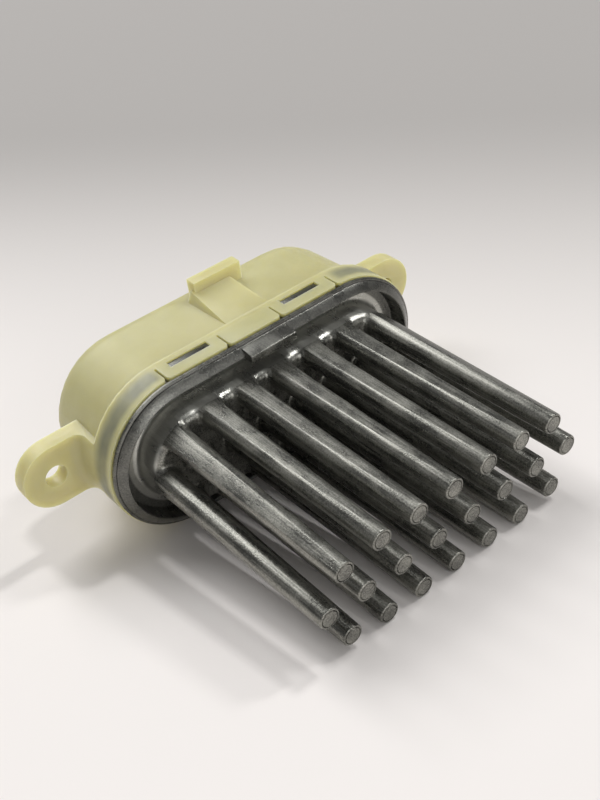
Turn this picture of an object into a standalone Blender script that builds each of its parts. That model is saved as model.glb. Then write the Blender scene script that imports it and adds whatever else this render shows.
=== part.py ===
"""Blower motor resistor: a die-cast pin heat sink with a clipped connector housing.

Sizes are in millimetres. X runs along the part, the pins point to -Y and the sockets to +Y.
Depths along Y are measured from the front face of the rim. A parent empty then puts the
origin at the middle of the part's footprint, on the plane that it lies on.
"""
import math

import bmesh
import bpy
from mathutils import Matrix, Vector

MM = 0.001

# Pins
PIN_PITCH = 9.0
ROW_PITCH = 9.77
OUTER_ROW_PINS = 7
MIDDLE_ROW_PINS = 8
END_PIN_PULL = 1.34
PIN_LENGTH = 51.6
PIN_TIP_RADIUS = 2.25
PIN_ROOT_RADIUS = 2.7
PIN_TIP_CHAMFER = 0.3
PIN_ROOT_FLARE = 0.7
PIN_FLARE_MIDDLE = 0.3
PIN_FLAT_OFFSET = 2.2
PIN_SIDES = 16

# Plateau that carries the pins
PLATEAU_RISE = 2.9
PLATEAU_EDGE_RADIUS = 1.8

# Rim of the heat sink, from the moat outwards
MOAT_WIDTH = 3.6
MOAT_DEPTH = 4.5
MOAT_END_EXTRA = 1.15
FLOOR_THICKNESS = 2.0
LIP_WIDTH = 0.8
LIP_BEVEL = 0.9
BAND_WIDTH = 1.0
BAND_SLOPE = 0.5
BAND_THICKNESS = 1.0
LIP_TAB_LENGTH = 12.0
LIP_TAB_REACH = 2.4
LIP_TAB_THICKNESS = 1.2

# Upstand behind the rim, which the housing snaps over
UPSTAND_STEP = 1.0
UPSTAND_WALL = 1.5
UPSTAND_LENGTH = 5.1
CATCH_HEIGHT = 1.1
CATCH_LENGTH = 1.5
CATCH_FLAT = 0.5
CATCH_ROOT = 0.75

# Clearances between pieces
SNAP_CLEARANCE = 0.3
SEAT_GAP = 0.3
BLADE_CLEARANCE = 0.3
CUT_OVERRUN = 1.0

# The housing's slits, body, ears and hook sit a little left of the pins' middle
HOUSING_SHIFT = -0.6

# Skirt and collar of the housing
SKIRT_WALL = 1.1
COLLAR_LENGTH = 6.6
COLLAR_STEP_WALL = 1.2
TONGUE_CENTRE = 14.9
TONGUE_WIDTH = 15.8
SLIT_WIDTH = 0.5
SLIT_MOUTH = 2.4
SLIT_LENGTH = 4.8
WINDOW_WIDTH = 10.0
WINDOW_LENGTH = 2.1
WINDOW_SETBACK = 2.9

# Body of the housing
BODY_END_STEP = 1.38
BODY_SIDE_STEP = 0.47
BODY_WALL = 1.6
BODY_DEPTH = 28.4
BODY_EDGE_RADIUS = 5.5
BODY_DRAFT = 0.6

# Ears
EAR_REACH = 5.25
EAR_RADIUS = 7.6
EAR_THICKNESS = 4.0
EAR_SETBACK = 12.7
EAR_HOLE_RADIUS = 2.6
EAR_ROOT_FILLET = 2.4
EAR_ROOT_STEP = 0.1
EAR_ROOT_SLICES = 8

# Hook on the upper side
HOOK_CENTRE = 4.1
HOOK_WIDTH = 12.6
HOOK_HEIGHT = 4.2
HOOK_THICKNESS = 3.0
HOOK_SETBACK = 19.7
HOOK_ROOT = 2.0
RAMP_CENTRE = 2.2
RAMP_WIDTH = 9.6
RAMP_HEIGHT = 1.9
RAMP_SETBACK = 5.7

# Sockets and terminals
BLADE_WIDTH = 6.3
BLADE_THICKNESS = 0.8
BLADE_PITCH = 8.4
SIGNAL_PIN_WIDTH = 2.8
SIGNAL_PITCH = 7.0
BLADE_SHOULDER = 0.5
TAIL_WIDTH = 1.6
TAIL_LENGTH = 1.2
SUPPLY_FIRST_BLADE = -21.2
MOTOR_FIRST_BLADE = 7.4
SOCKET_HEIGHT = 10.0
SOCKET_SIDE_ROOM = 1.6
SOCKET_WALL = 1.3
SOCKET_RISE = 5.8
SOCKET_DEPTH = 11.5
SOCKET_CORNER = 1.2
BLADE_RECESS = 4.2
LATCH_WIDTH = 5.0
LATCH_HEIGHT = 1.4
LATCH_LENGTH = 3.0
LATCH_CREST = 0.6
LATCH_ROOT = 0.6

# Board and what stands on the heat sink
BOARD_THICKNESS = 1.6
BOARD_EDGE_GAP = 0.5
BOSS_RADIUS = 3.0
BOARD_SCREW_ROOM = 1.4
BOARD_BOSS_HEIGHT = 9.0
SCREW_RADIUS = 1.25
SCREW_HEAD_RADIUS = 2.6
SCREW_HEAD_HEIGHT = 2.0
SCREW_THREAD_LENGTH = 6.0
SCREW_CROWN = 0.5
SCREW_POINT_RADIUS = 0.9
SOCKET_KEY_RADIUS = 1.1
SOCKET_KEY_DEPTH = 1.1

# Power transistors, pads and their clamp
TRANSISTOR_SPACING = 22.0
TRANSISTOR_WIDTH = 10.0
TRANSISTOR_BODY_LENGTH = 9.2
TRANSISTOR_TAB_LENGTH = 6.3
TRANSISTOR_THICKNESS = 4.4
TRANSISTOR_TAB_THICKNESS = 1.3
LEAD_PITCH = 2.54
LEAD_WIDTH = 0.8
LEAD_THICKNESS = 0.6
LEAD_DROP = 3.0
PAD_THICKNESS = 0.5
PAD_MARGIN = 0.8
CLAMP_WIDTH = 7.0
CLAMP_THICKNESS = 0.9
CLAMP_ARCH = 0.8

# Parts on the board
SHUNT_LENGTH = 11.0
SHUNT_WIDTH = 3.5
SHUNT_THICKNESS = 0.7
SHUNT_HEIGHT = 4.0
SHUNT_HEIGHT_ON_BOARD = 12.0
CHIP_LENGTH = 8.7
CHIP_WIDTH = 4.0
CHIP_HEIGHT = 1.5
CHIP_LIFT = 0.3
CHIP_LEG_REACH = 1.0
CHIP_LEG_WIDTH = 0.4
CHIP_LEG_HEIGHT = 0.7
CHIP_LEGS = 7
CAPACITOR_RADIUS = 3.15
CAPACITOR_LENGTH = 11.0
DIODE_RADIUS = 2.6
DIODE_LENGTH = 9.0
LEAD_HALF_THICKNESS = 0.5
CAN_EDGE = 0.3
PASSIVE_LENGTH = 3.2
PASSIVE_WIDTH = 1.6
PASSIVE_HEIGHT = 1.1

# Plan of the parts on the board's rear face, as X and Z from the board's centre
CHIP_PLACE = (-1.0, 9.6)
CAPACITOR_PLACE = (14.0, 10.4)
DIODE_PLACE = (-17.0, 10.4)
PASSIVE_PLACES = {
    "gate_resistor_left": (-12.0, -11.5),
    "gate_resistor_right": (12.0, -11.5),
    "feedback_capacitor": (-1.0, 3.6),
    "bias_resistor": (1.0, -7.5),
}

ARC_STEPS = 18
ROUND_STEPS = 4
TONGUE_CORNER_STEPS = 6
KEY_SIDES = 6

# Stations and radii that follow from the sizes above
FLAT_RADIUS = ROW_PITCH + PIN_FLAT_OFFSET
PLATEAU_SPINE = (MIDDLE_ROW_PINS - 1) / 2 * PIN_PITCH + PIN_FLAT_OFFSET - FLAT_RADIUS
PLATEAU_SKIRT_RADIUS = FLAT_RADIUS + MOAT_WIDTH / 4
RIM_SPINE = PLATEAU_SPINE + MOAT_END_EXTRA
LIP_INNER_RADIUS = FLAT_RADIUS + MOAT_WIDTH
LIP_OUTER_RADIUS = LIP_INNER_RADIUS + LIP_WIDTH
SEAM_RADIUS = LIP_OUTER_RADIUS + LIP_BEVEL
BAND_RADIUS = SEAM_RADIUS + BAND_WIDTH
BAND_FRONT = LIP_BEVEL + BAND_SLOPE
BAND_REAR = BAND_FRONT + BAND_THICKNESS
PIN_TIP_Y = -PLATEAU_RISE - PIN_LENGTH
UPSTAND_RADIUS = BAND_RADIUS - UPSTAND_STEP
UPSTAND_INNER_RADIUS = UPSTAND_RADIUS - UPSTAND_WALL
UPSTAND_REAR = BAND_REAR + UPSTAND_LENGTH
FLOOR_REAR = MOAT_DEPTH + FLOOR_THICKNESS

SKIRT_FRONT = BAND_REAR + SEAT_GAP
SKIRT_INNER_RADIUS = UPSTAND_RADIUS + SNAP_CLEARANCE
SKIRT_RADIUS = SKIRT_INNER_RADIUS + SKIRT_WALL
SKIRT_STEP_Y = UPSTAND_REAR + SEAT_GAP
COLLAR_REAR = max(SKIRT_FRONT + COLLAR_LENGTH, SKIRT_STEP_Y + COLLAR_STEP_WALL)
BODY_SPINE = RIM_SPINE - BODY_END_STEP
BODY_RADIUS = SKIRT_RADIUS - BODY_SIDE_STEP
BODY_INNER_RADIUS = BODY_RADIUS - BODY_DRAFT - BODY_WALL
BODY_REAR = SKIRT_FRONT + BODY_DEPTH
BODY_INNER_REAR = BODY_REAR - BODY_WALL
SOCKET_REAR = BODY_REAR + SOCKET_RISE
SOCKET_FLOOR = SOCKET_REAR - SOCKET_DEPTH
SOCKET_FLOOR_FRONT = SOCKET_FLOOR - BODY_WALL
BLADE_TIP_Y = SOCKET_REAR - BLADE_RECESS
EAR_FRONT = SKIRT_FRONT + EAR_SETBACK
EAR_HOLE_REACH = RIM_SPINE + SKIRT_RADIUS + EAR_REACH

BOARD_SCREW_REACH = BODY_SPINE + BODY_INNER_RADIUS - SCREW_HEAD_RADIUS - BOARD_SCREW_ROOM
BOARD_FRONT = FLOOR_REAR + BOARD_BOSS_HEIGHT + SEAT_GAP
BOARD_REAR = BOARD_FRONT + BOARD_THICKNESS
PAD_FRONT = FLOOR_REAR + SEAT_GAP
TRANSISTOR_FRONT = PAD_FRONT + PAD_THICKNESS + SEAT_GAP
TRANSISTOR_REAR = TRANSISTOR_FRONT + TRANSISTOR_THICKNESS
CLAMP_FRONT = TRANSISTOR_REAR + SEAT_GAP
BOARD_PART_SEAT = BOARD_REAR + SEAT_GAP
LEAD_Z = -TRANSISTOR_BODY_LENGTH / 2 - LEAD_DROP


def clear_scene():
    """Remove whatever objects the file already holds."""
    for item in list(bpy.data.objects):
        bpy.data.objects.remove(item, do_unlink=True)


def arc(centre, radius, start, end, steps):
    """Points of an arc in a plane, from one angle to another in degrees."""
    points = []
    for step in range(steps + 1):
        angle = math.radians(start + (end - start) * step / steps)
        points.append((centre[0] + radius * math.cos(angle), centre[1] + radius * math.sin(angle)))
    return points


def stadium(spine, radius, y, middle=0):
    """A ring of points round a spine along X, at one depth."""
    right = arc((middle + spine, 0), radius, -90, 90, ARC_STEPS)
    left = arc((middle - spine, 0), radius, 90, 270, ARC_STEPS)
    return [Vector((x, y, z)) for x, z in right + left]


def disc(centre, radius, y, sides):
    """A ring of points round an axis along Y."""
    step = 360 / sides
    turn = arc(centre, radius, 0, 360 - step, sides - 1)
    return [Vector((x, y, z)) for x, z in turn]


def rounded_rectangle(centre, width, height, corner):
    """Outline of a rectangle with round corners."""
    half_width = width / 2 - corner
    half_height = height / 2 - corner
    outline = []
    for turn, (side_x, side_z) in enumerate(((1, 1), (-1, 1), (-1, -1), (1, -1))):
        middle = (centre[0] + side_x * half_width, centre[1] + side_z * half_height)
        outline += arc(middle, corner, 90 * turn, 90 * turn + 90, ROUND_STEPS)
    return outline


def loft(rings, mesh=None):
    """A closed solid through rings of equally many points, with flat ends."""
    mesh = mesh or bmesh.new()
    loops = [[mesh.verts.new(point) for point in ring] for ring in rings]
    made = [mesh.faces.new(loops[0]), mesh.faces.new(loops[-1])]
    for low, high in zip(loops, loops[1:]):
        for index in range(len(low)):
            after = (index + 1) % len(low)
            made.append(mesh.faces.new((low[index], low[after], high[after], high[index])))
    bmesh.ops.recalc_face_normals(mesh, faces=made)
    return mesh


def prism(outline, axis, low, high, mesh=None):
    """A solid with a flat outline, drawn along one axis from low to high."""
    place = {
        "X": lambda u, v, depth: Vector((depth, u, v)),
        "Y": lambda u, v, depth: Vector((u, depth, v)),
        "Z": lambda u, v, depth: Vector((u, v, depth)),
    }[axis]
    rings = [[place(u, v, depth) for u, v in outline] for depth in (low, high)]
    return loft(rings, mesh)


def box(low, high, mesh=None):
    """A block between two corners."""
    outline = [(low[0], low[1]), (high[0], low[1]), (high[0], high[1]), (low[0], high[1])]
    return prism(outline, "Z", low[2], high[2], mesh)


def material(name, colour, roughness, metallic=0.0):
    """A plain Principled material."""
    made = bpy.data.materials.new(name)
    made.use_nodes = True
    shader = made.node_tree.nodes["Principled BSDF"]
    shader.inputs["Base Color"].default_value = (*colour, 1.0)
    shader.inputs["Roughness"].default_value = roughness
    shader.inputs["Metallic"].default_value = metallic
    made.diffuse_color = (*colour, 1.0)
    return made


class Assembly:
    """Puts named pieces, and the tools that shape them, under one placed frame."""

    def __init__(self):
        self.frame = bpy.data.objects.new("resistor_frame", None)
        middle_y = (PIN_TIP_Y + SOCKET_REAR) / 2
        self.frame.location = Vector((-HOUSING_SHIFT, -middle_y, SKIRT_RADIUS)) * MM
        bpy.context.collection.objects.link(self.frame)

    def _link(self, name, mesh):
        bmesh.ops.transform(mesh, matrix=Matrix.Scale(MM, 4), verts=mesh.verts)
        data = bpy.data.meshes.new(name)
        mesh.to_mesh(data)
        mesh.free()
        item = bpy.data.objects.new(name, data)
        item.parent = self.frame
        bpy.context.collection.objects.link(item)
        return item

    def piece(self, name, mesh, finish):
        """A real piece of the product, with its own copy of a finish."""
        item = self._link(name, mesh)
        own = finish.copy()
        own.name = name + "_" + finish.name
        item.data.materials.append(own)
        return item

    def shape(self, target, name, mesh, operation):
        """Join, cut or trim a piece with a tool that stays hidden."""
        tool = self._link(name, mesh)
        tool.hide_render = True
        tool.display_type = "WIRE"
        change = target.modifiers.new(name, "BOOLEAN")
        change.operation = operation
        change.solver = "EXACT"
        change.object = tool


def pin_places():
    """Centre of each pin in X and Z: two outer rows and a staggered middle row."""
    places = []
    for index in range(MIDDLE_ROW_PINS):
        places.append(((index - (MIDDLE_ROW_PINS - 1) / 2) * PIN_PITCH, 0))
    for index in range(OUTER_ROW_PINS):
        x = (index - (OUTER_ROW_PINS - 1) / 2) * PIN_PITCH
        pull = END_PIN_PULL if index in (0, OUTER_ROW_PINS - 1) else 0
        places.append((x, ROW_PITCH - pull))
        places.append((x, -ROW_PITCH + pull))
    return places


def pin_field():
    """All pins as tapered rods that start inside the plateau."""
    mesh = bmesh.new()
    root = -PLATEAU_RISE
    flare = PIN_ROOT_FLARE * PIN_FLARE_MIDDLE
    profile = [
        (PIN_TIP_RADIUS - PIN_TIP_CHAMFER, PIN_TIP_Y),
        (PIN_TIP_RADIUS, PIN_TIP_Y + PIN_TIP_CHAMFER),
        (PIN_ROOT_RADIUS, root - PIN_ROOT_FLARE),
        (PIN_ROOT_RADIUS + flare, root - flare),
        (PIN_ROOT_RADIUS + PIN_ROOT_FLARE, root),
        (PIN_ROOT_RADIUS + PIN_ROOT_FLARE, PLATEAU_EDGE_RADIUS),
    ]
    for centre in pin_places():
        loft([disc(centre, radius, y, PIN_SIDES) for radius, y in profile], mesh)
    return mesh


def plateau():
    """Slab under the pins, a little wider than the envelope that trims it."""
    front = -PLATEAU_RISE
    middle = (FLAT_RADIUS - PLATEAU_EDGE_RADIUS, front + PLATEAU_EDGE_RADIUS)
    edge = arc(middle, PLATEAU_EDGE_RADIUS, -90, 0, ROUND_STEPS)
    rings = [stadium(PLATEAU_SPINE, radius, y) for radius, y in edge]
    flared = edge[-1][1] + PLATEAU_SKIRT_RADIUS - FLAT_RADIUS
    rings.append(stadium(PLATEAU_SPINE, PLATEAU_SKIRT_RADIUS, flared))
    rings.append(stadium(PLATEAU_SPINE, PLATEAU_SKIRT_RADIUS, MOAT_DEPTH + FLOOR_THICKNESS / 2))
    return loft(rings)


def pin_envelope():
    """Straight-sided stadium that cuts the flats on the outer pins and the plateau wall."""
    depths = (PIN_TIP_Y - PIN_ROOT_RADIUS, FLOOR_REAR + FLOOR_THICKNESS)
    return loft([stadium(PLATEAU_SPINE, FLAT_RADIUS, y) for y in depths])


def rim():
    """Floor of the moat, stepped lip, outer band and the upstand behind them."""
    profile = [
        (UPSTAND_INNER_RADIUS, FLOOR_REAR),
        (UPSTAND_INNER_RADIUS, UPSTAND_REAR),
        (UPSTAND_RADIUS, UPSTAND_REAR),
        (UPSTAND_RADIUS, BAND_REAR),
        (BAND_RADIUS, BAND_REAR),
        (BAND_RADIUS, BAND_FRONT),
        (SEAM_RADIUS, BAND_FRONT - BAND_SLOPE / 2),
        (SEAM_RADIUS, LIP_BEVEL),
        (LIP_OUTER_RADIUS, 0),
        (LIP_INNER_RADIUS, 0),
        (LIP_INNER_RADIUS, MOAT_DEPTH),
    ]
    return loft([stadium(RIM_SPINE, radius, y) for radius, y in profile])


def boss_places():
    """Centres of the board's bosses, on the long axis."""
    return [(HOUSING_SHIFT + side * BOARD_SCREW_REACH, 0) for side in (-1, 1)]


def tongue_centres():
    """X of the two snap tongues on each long side."""
    return [HOUSING_SHIFT - TONGUE_CENTRE, HOUSING_SHIFT + TONGUE_CENTRE]


def rim_additions():
    """Tab on the upper lip, catches for the windows and bosses for the screws."""
    mesh = box(
        (-LIP_TAB_LENGTH / 2, -LIP_TAB_REACH, LIP_OUTER_RADIUS - LIP_TAB_THICKNESS),
        (LIP_TAB_LENGTH / 2, LIP_BEVEL, LIP_OUTER_RADIUS),
    )
    front = SKIRT_FRONT + WINDOW_SETBACK + SNAP_CLEARANCE
    low = UPSTAND_RADIUS - CATCH_ROOT
    top = UPSTAND_RADIUS + CATCH_HEIGHT
    for side in (-1, 1):
        outline = [
            (front, side * low),
            (front, side * top),
            (front + CATCH_FLAT, side * top),
            (front + CATCH_LENGTH, side * UPSTAND_RADIUS),
            (front + CATCH_LENGTH, side * low),
        ]
        for centre in tongue_centres():
            half = WINDOW_WIDTH / 2 - SNAP_CLEARANCE
            prism(outline, "X", centre - half, centre + half, mesh)
    sunk = FLOOR_REAR - FLOOR_THICKNESS / 2
    for centre in boss_places():
        ends = (sunk, FLOOR_REAR + BOARD_BOSS_HEIGHT)
        loft([disc(centre, BOSS_RADIUS, y, PIN_SIDES) for y in ends], mesh)
    ends = (sunk, TRANSISTOR_REAR)
    loft([disc((0, 0), BOSS_RADIUS, y, PIN_SIDES) for y in ends], mesh)
    return mesh


def screw_holes():
    """Blind holes for the board screws and the clamp screw."""
    radius = SCREW_RADIUS + SEAT_GAP
    room = SCREW_THREAD_LENGTH + SEAT_GAP
    mesh = bmesh.new()
    for centre in boss_places():
        top = FLOOR_REAR + BOARD_BOSS_HEIGHT
        loft([disc(centre, radius, y, PIN_SIDES) for y in (top - room, top + BOSS_RADIUS)], mesh)
    ends = (TRANSISTOR_REAR - room, TRANSISTOR_REAR + BOSS_RADIUS)
    loft([disc((0, 0), radius, y, PIN_SIDES) for y in ends], mesh)
    return mesh


def build_heat_sink(assembly, finish):
    """One casting: 22 pins on a plateau, inside a stepped rim."""
    sink = assembly.piece("heat_sink", plateau(), finish)
    assembly.shape(sink, "heat_sink_pins", pin_field(), "UNION")
    assembly.shape(sink, "heat_sink_envelope", pin_envelope(), "INTERSECT")
    assembly.shape(sink, "heat_sink_rim", rim(), "UNION")
    assembly.shape(sink, "heat_sink_additions", rim_additions(), "UNION")
    assembly.shape(sink, "heat_sink_holes", screw_holes(), "DIFFERENCE")


def blade_rows():
    """Each terminal's name, X centre and width, grouped by socket."""
    supply = [
        ("supply_blade_positive", SUPPLY_FIRST_BLADE, BLADE_WIDTH),
        ("supply_blade_negative", SUPPLY_FIRST_BLADE + BLADE_PITCH, BLADE_WIDTH),
        ("signal_pin", SUPPLY_FIRST_BLADE + BLADE_PITCH + SIGNAL_PITCH, SIGNAL_PIN_WIDTH),
    ]
    motor = [
        ("motor_blade_positive", MOTOR_FIRST_BLADE, BLADE_WIDTH),
        ("motor_blade_negative", MOTOR_FIRST_BLADE + BLADE_PITCH, BLADE_WIDTH),
    ]
    return [supply, motor]


def socket_spans():
    """Centre and inner width of each socket, round its own blades."""
    spans = []
    for row in blade_rows():
        low = row[0][1] - row[0][2] / 2 - SOCKET_SIDE_ROOM
        high = row[-1][1] + row[-1][2] / 2 + SOCKET_SIDE_ROOM
        spans.append(((low + high) / 2, high - low))
    return spans


def housing_block():
    """Outside of the collar and the body behind it, as one solid."""
    edge_radius = BODY_RADIUS - BODY_DRAFT
    middle = (edge_radius - BODY_EDGE_RADIUS, BODY_REAR - BODY_EDGE_RADIUS)
    edge = arc(middle, BODY_EDGE_RADIUS, 90, 0, ROUND_STEPS)
    rings = [stadium(BODY_SPINE, radius, y, HOUSING_SHIFT) for radius, y in edge]
    rings.append(stadium(BODY_SPINE, BODY_RADIUS, COLLAR_REAR, HOUSING_SHIFT))
    rings.append(stadium(RIM_SPINE, SKIRT_RADIUS, COLLAR_REAR))
    rings.append(stadium(RIM_SPINE, SKIRT_RADIUS, SKIRT_FRONT))
    return loft(rings)


def housing_cavity():
    """Room for the upstand inside the skirt, and for the board behind it."""
    edge_radius = BODY_EDGE_RADIUS - BODY_WALL
    middle = (BODY_INNER_RADIUS - edge_radius, BODY_INNER_REAR - edge_radius)
    edge = arc(middle, edge_radius, 90, 0, ROUND_STEPS)
    rings = [stadium(BODY_SPINE, radius, y, HOUSING_SHIFT) for radius, y in edge]
    rings.append(stadium(BODY_SPINE, BODY_INNER_RADIUS, SKIRT_STEP_Y, HOUSING_SHIFT))
    rings.append(stadium(RIM_SPINE, SKIRT_INNER_RADIUS, SKIRT_STEP_Y))
    rings.append(stadium(RIM_SPINE, SKIRT_INNER_RADIUS, SKIRT_FRONT - CUT_OVERRUN))
    return loft(rings)


def ear_hole_places():
    """Side and X of the screw hole in each ear."""
    return [(side, HOUSING_SHIFT + side * EAR_HOLE_REACH) for side in (-1, 1)]


def ears():
    """Plates with round ends, one at each end of the housing."""
    mesh = bmesh.new()
    for side, x in ear_hole_places():
        turn = arc((0, 0), EAR_RADIUS, -90, 90, ARC_STEPS)
        outline = [(x + side * u, v) for u, v in turn]
        root = HOUSING_SHIFT + side * BODY_SPINE
        outline += [(root, EAR_RADIUS), (root, -EAR_RADIUS)]
        prism(outline, "Y", EAR_FRONT, EAR_FRONT + EAR_THICKNESS, mesh)
    return mesh


def ear_roots():
    """Carry the round end of the collar back to each ear, with a hollow corner."""
    front = COLLAR_REAR - COLLAR_STEP_WALL / 2
    rear = EAR_FRONT + EAR_THICKNESS / 2
    surface = SKIRT_RADIUS - EAR_ROOT_STEP
    mesh = bmesh.new()
    for side in (-1, 1):
        rings = []
        for slice_number in range(EAR_ROOT_SLICES + 1):
            z = EAR_RADIUS * (2 * slice_number / EAR_ROOT_SLICES - 1)
            face = RIM_SPINE + math.sqrt(surface ** 2 - z ** 2)
            corner = (face + EAR_ROOT_FILLET, EAR_FRONT - EAR_ROOT_FILLET)
            outline = [(BODY_SPINE, front), (face, front)]
            outline += arc(corner, EAR_ROOT_FILLET, 180, 90, ROUND_STEPS)
            outline += [(corner[0], rear), (BODY_SPINE, rear)]
            rings.append([Vector((side * x, y, z)) for x, y in outline])
        loft(rings, mesh)
    return mesh


def hook_wall():
    """Upright lug at the rear of the upper side."""
    low = HOOK_CENTRE - HOOK_WIDTH / 2
    rear = SKIRT_FRONT + HOOK_SETBACK + HOOK_THICKNESS
    return box(
        (low, rear - HOOK_THICKNESS, BODY_RADIUS - HOOK_ROOT),
        (low + HOOK_WIDTH, rear, BODY_RADIUS + HOOK_HEIGHT),
    )


def hook_ramp():
    """Wedge that rises from the collar to the lug, wider at its foot."""
    front = SKIRT_FRONT + RAMP_SETBACK
    rear = SKIRT_FRONT + HOOK_SETBACK + HOOK_THICKNESS / 2
    top = BODY_RADIUS + RAMP_HEIGHT
    half = RAMP_WIDTH / 2
    foot = half + RAMP_HEIGHT
    rings = []
    for y, height, spread in ((front, BODY_RADIUS, (half + foot) / 2), (rear, top, half)):
        rings.append([
            Vector((RAMP_CENTRE - foot, y, BODY_RADIUS - HOOK_ROOT)),
            Vector((RAMP_CENTRE + foot, y, BODY_RADIUS - HOOK_ROOT)),
            Vector((RAMP_CENTRE + spread, y, height)),
            Vector((RAMP_CENTRE - spread, y, height)),
        ])
    return loft(rings)


def socket_blocks():
    """Outside of the two sockets, sunk through the rear wall into the body."""
    mesh = bmesh.new()
    for centre, width in socket_spans():
        outline = rounded_rectangle(
            (centre, 0),
            width + 2 * SOCKET_WALL,
            SOCKET_HEIGHT + 2 * SOCKET_WALL,
            SOCKET_CORNER + SOCKET_WALL,
        )
        prism(outline, "Y", SOCKET_FLOOR_FRONT, SOCKET_REAR, mesh)
    return mesh


def socket_latches():
    """A ramp on top of each socket for the plug's latch."""
    mesh = bmesh.new()
    top = SOCKET_HEIGHT / 2 + SOCKET_WALL
    rear = SOCKET_REAR - LATCH_CREST
    front = rear - LATCH_LENGTH
    outline = [
        (rear, top - LATCH_ROOT),
        (front, top - LATCH_ROOT),
        (front, top + LATCH_HEIGHT),
        (front + LATCH_CREST, top + LATCH_HEIGHT),
        (rear, top),
    ]
    for centre, _ in socket_spans():
        prism(outline, "X", centre - LATCH_WIDTH / 2, centre + LATCH_WIDTH / 2, mesh)
    return mesh


def socket_cavities():
    """Insides of the sockets, down to their floors."""
    mesh = bmesh.new()
    for centre, width in socket_spans():
        outline = rounded_rectangle((centre, 0), width, SOCKET_HEIGHT, SOCKET_CORNER)
        prism(outline, "Y", SOCKET_FLOOR, SOCKET_REAR + SOCKET_WALL, mesh)
    return mesh


def slit_outline(centre):
    """A narrow slit whose mouth opens round two tongue corners."""
    corner = (SLIT_MOUTH - SLIT_WIDTH) / 2
    half = SLIT_WIDTH / 2
    outline = [(centre - half, SKIRT_FRONT + SLIT_LENGTH), (centre + half, SKIRT_FRONT + SLIT_LENGTH)]
    right = centre + half + corner
    left = centre - half - corner
    outline += arc((right, SKIRT_FRONT + corner), corner, 180, 270, TONGUE_CORNER_STEPS)
    outline += [(right, SKIRT_FRONT - CUT_OVERRUN), (left, SKIRT_FRONT - CUT_OVERRUN)]
    outline += arc((left, SKIRT_FRONT + corner), corner, 270, 360, TONGUE_CORNER_STEPS)
    return outline


def plain_slit(centre):
    """A narrow slit with a square mouth, for the lower side, which the part lies on."""
    half = SLIT_WIDTH / 2
    ends = (SKIRT_FRONT - CUT_OVERRUN, SKIRT_FRONT + SLIT_LENGTH)
    return [(centre - half, ends[1]), (centre + half, ends[1]), (centre + half, ends[0]), (centre - half, ends[0])]


def skirt_cuts():
    """Slits beside each tongue and a window in it, on both long sides."""
    low = SKIRT_INNER_RADIUS - SKIRT_WALL / 2
    high = SKIRT_RADIUS + SKIRT_WALL
    mesh = bmesh.new()
    front = SKIRT_FRONT + WINDOW_SETBACK
    half = WINDOW_WIDTH / 2
    for side, slit in ((-1, plain_slit), (1, slit_outline)):
        for tongue in tongue_centres():
            for edge in (-TONGUE_WIDTH / 2, TONGUE_WIDTH / 2):
                prism(slit(tongue + edge), "Z", side * low, side * high, mesh)
            near = (tongue - half, front, side * low)
            far = (tongue + half, front + WINDOW_LENGTH, side * high)
            box(near, far, mesh)
    return mesh


def housing_holes():
    """Screw holes in the ears and slots for the terminals."""
    mesh = bmesh.new()
    ends = (EAR_FRONT - EAR_THICKNESS, EAR_FRONT + 2 * EAR_THICKNESS)
    for _, x in ear_hole_places():
        loft([disc((x, 0), EAR_HOLE_RADIUS, y, 2 * ARC_STEPS) for y in ends], mesh)
    for row in blade_rows():
        for _, x, width in row:
            half = width / 2 + BLADE_CLEARANCE
            thick = BLADE_THICKNESS / 2 + BLADE_CLEARANCE
            front = SOCKET_FLOOR_FRONT - BODY_WALL
            box((x - half, front, -thick), (x + half, SOCKET_REAR, thick), mesh)
    return mesh


def build_housing(assembly, finish):
    """One moulding: skirt with snap tongues, body, ears, hook and sockets."""
    housing = assembly.piece("housing", housing_block(), finish)
    assembly.shape(housing, "housing_ears", ears(), "UNION")
    assembly.shape(housing, "housing_ear_roots", ear_roots(), "UNION")
    assembly.shape(housing, "housing_hook_wall", hook_wall(), "UNION")
    assembly.shape(housing, "housing_hook_ramp", hook_ramp(), "UNION")
    assembly.shape(housing, "housing_cavity", housing_cavity(), "DIFFERENCE")
    assembly.shape(housing, "housing_socket_blocks", socket_blocks(), "UNION")
    assembly.shape(housing, "housing_socket_latches", socket_latches(), "UNION")
    assembly.shape(housing, "housing_socket_cavities", socket_cavities(), "DIFFERENCE")
    assembly.shape(housing, "housing_skirt_cuts", skirt_cuts(), "DIFFERENCE")
    assembly.shape(housing, "housing_holes", housing_holes(), "DIFFERENCE")


def transistor_centres():
    """X of each power transistor."""
    return {"left": -TRANSISTOR_SPACING / 2, "right": TRANSISTOR_SPACING / 2}


def lead_places(centre):
    """X of the three leads of one transistor."""
    return [centre + step * LEAD_PITCH for step in (-1, 0, 1)]


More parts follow.
